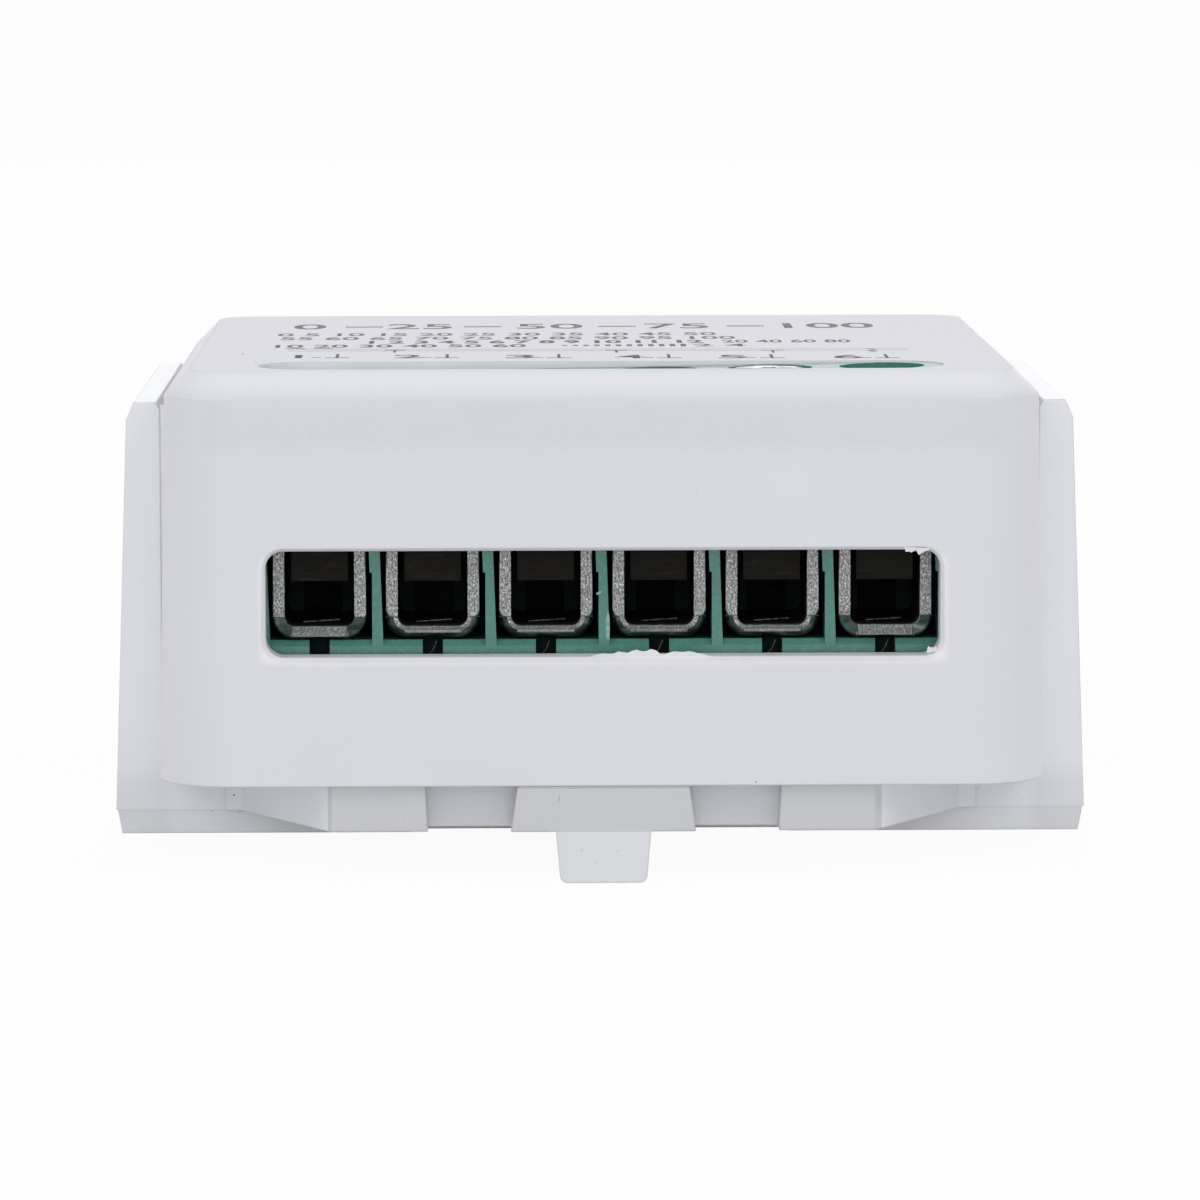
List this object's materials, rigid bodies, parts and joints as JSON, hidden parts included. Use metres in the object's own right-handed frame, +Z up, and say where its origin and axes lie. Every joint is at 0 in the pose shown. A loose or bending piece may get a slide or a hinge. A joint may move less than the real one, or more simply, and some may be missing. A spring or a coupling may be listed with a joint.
{
  "type": "smart dimmer module",
  "caption": "In-wall smart dimmer module, a white box with a row of rising cage clamps, held in a clip-on bracket with a sprung latch for a 35 mm rail.",
  "frame": {"origin": "middle of the foot plane, which touches the hooks under the bracket", "axes": "+X along the terminal row, +Y from the wire entries to the back, +Z up to the label face"},
  "size_m": [0.0438, 0.0392, 0.0225],
  "materials": {
    "housing_white": "fine satin moulded",
    "bracket_white": "smooth satin moulded",
    "spring_steel": "drawn wire",
    "terminal_green": "satin moulded",
    "cage_steel": "plated, sheared edges",
    "screw_steel": "bright zinc plated",
    "tinned_brass": "dull tinned",
    "board_green": "solder mask",
    "capacitor_yellow": "moulded box",
    "can_sleeve": "shrink sleeve",
    "varistor_blue": "dipped coating",
    "ferrite_dark": "ferrite and sleeve",
    "resistor_green": "flameproof coating",
    "chip_black": "epoxy",
    "opto_white": "epoxy",
    "spreader_aluminium": "mill",
    "board_blue": "solder mask",
    "shield_tin": "tinned",
    "plunger_brown": "moulded",
    "button_grey": "moulded",
    "led_clear": "clear epoxy",
    "pipe_clear": "clear acrylic"
  },
  "bodies": {
    "module": {"housing": "housing_white", "base_cover": "housing_white", "rail_bracket": "bracket_white", "latch_spring": "spring_steel", "terminal_block": "terminal_green", "terminal_contacts": "tinned_brass", "main_board": "board_green", "film_capacitor": "capacitor_yellow", "electrolytic_capacitors": "can_sleeve", "varistor": "varistor_blue", "power_inductor": "ferrite_dark", "fuse_resistor": "resistor_green", "bridge_rectifier": "chip_black", "supply_chip": "chip_black", "optocouplers": "opto_white", "power_transistors": "chip_black", "heat_spreader": "spreader_aluminium", "wifi_board": "board_blue", "wifi_chip": "chip_black", "wifi_shield": "shield_tin", "button_switch": "chip_black", "status_led": "led_clear", "light_pipe": "pipe_clear"},
    "latch": {"rail_latch": "bracket_white"},
    "button": {"pairing_button": "button_grey", "switch_plunger": "plunger_brown"},
    "screw_1": {"terminal_screw_1": "screw_steel"},
    "cage_1": {"terminal_cage_1": "cage_steel"},
    "screw_2": {"terminal_screw_2": "screw_steel"},
    "cage_2": {"terminal_cage_2": "cage_steel"},
    "screw_3": {"terminal_screw_3": "screw_steel"},
    "cage_3": {"terminal_cage_3": "cage_steel"},
    "screw_4": {"terminal_screw_4": "screw_steel"},
    "cage_4": {"terminal_cage_4": "cage_steel"},
    "screw_5": {"terminal_screw_5": "screw_steel"},
    "cage_5": {"terminal_cage_5": "cage_steel"},
    "screw_6": {"terminal_screw_6": "screw_steel"},
    "cage_6": {"terminal_cage_6": "cage_steel"}
  },
  "joints": [
    {"name": "latch_slide", "type": "slide", "parent": "module", "child": "latch", "axis": [0, -1, 0], "range_m": [0, 0.002], "stiffness_N_per_m": 700, "springref_m": -0.001, "deforming": ["latch_spring"]},
    {"name": "button_press", "type": "slide", "parent": "module", "child": "button", "axis": [0, -1, 0], "range_m": [0, 0.00035], "stiffness_N_per_m": 1500, "springref_m": -0.0002},
    {"name": "screw_1_turn", "type": "hinge", "parent": "module", "child": "screw_1", "pos_m": [-0.0125, -0.01462, 0.0195], "axis": [0, 0, -1], "range_deg": [0, 1080]},
    {"name": "cage_1_rise", "type": "slide", "parent": "module", "child": "cage_1", "axis": [0, 0, 1], "range_m": [0, 0.0015]},
    {"name": "screw_2_turn", "type": "hinge", "parent": "module", "child": "screw_2", "pos_m": [-0.0075, -0.01462, 0.0195], "axis": [0, 0, -1], "range_deg": [0, 1080]},
    {"name": "cage_2_rise", "type": "slide", "parent": "module", "child": "cage_2", "axis": [0, 0, 1], "range_m": [0, 0.0015]},
    {"name": "screw_3_turn", "type": "hinge", "parent": "module", "child": "screw_3", "pos_m": [-0.0025, -0.01462, 0.0195], "axis": [0, 0, -1], "range_deg": [0, 1080]},
    {"name": "cage_3_rise", "type": "slide", "parent": "module", "child": "cage_3", "axis": [0, 0, 1], "range_m": [0, 0.0015]},
    {"name": "screw_4_turn", "type": "hinge", "parent": "module", "child": "screw_4", "pos_m": [0.0025, -0.01462, 0.0195], "axis": [0, 0, -1], "range_deg": [0, 1080]},
    {"name": "cage_4_rise", "type": "slide", "parent": "module", "child": "cage_4", "axis": [0, 0, 1], "range_m": [0, 0.0015]},
    {"name": "screw_5_turn", "type": "hinge", "parent": "module", "child": "screw_5", "pos_m": [0.0075, -0.01462, 0.0195], "axis": [0, 0, -1], "range_deg": [0, 1080]},
    {"name": "cage_5_rise", "type": "slide", "parent": "module", "child": "cage_5", "axis": [0, 0, 1], "range_m": [0, 0.0015]},
    {"name": "screw_6_turn", "type": "hinge", "parent": "module", "child": "screw_6", "pos_m": [0.0125, -0.01462, 0.0195], "axis": [0, 0, -1], "range_deg": [0, 1080]},
    {"name": "cage_6_rise", "type": "slide", "parent": "module", "child": "cage_6", "axis": [0, 0, 1], "range_m": [0, 0.0015]}
  ],
  "couplings": [
    {"joint": "screw_1_turn", "follows": "cage_1_rise", "rad_per_m": 12566},
    {"joint": "screw_2_turn", "follows": "cage_2_rise", "rad_per_m": 12566},
    {"joint": "screw_3_turn", "follows": "cage_3_rise", "rad_per_m": 12566},
    {"joint": "screw_4_turn", "follows": "cage_4_rise", "rad_per_m": 12566},
    {"joint": "screw_5_turn", "follows": "cage_5_rise", "rad_per_m": 12566},
    {"joint": "screw_6_turn", "follows": "cage_6_rise", "rad_per_m": 12566}
  ]
}
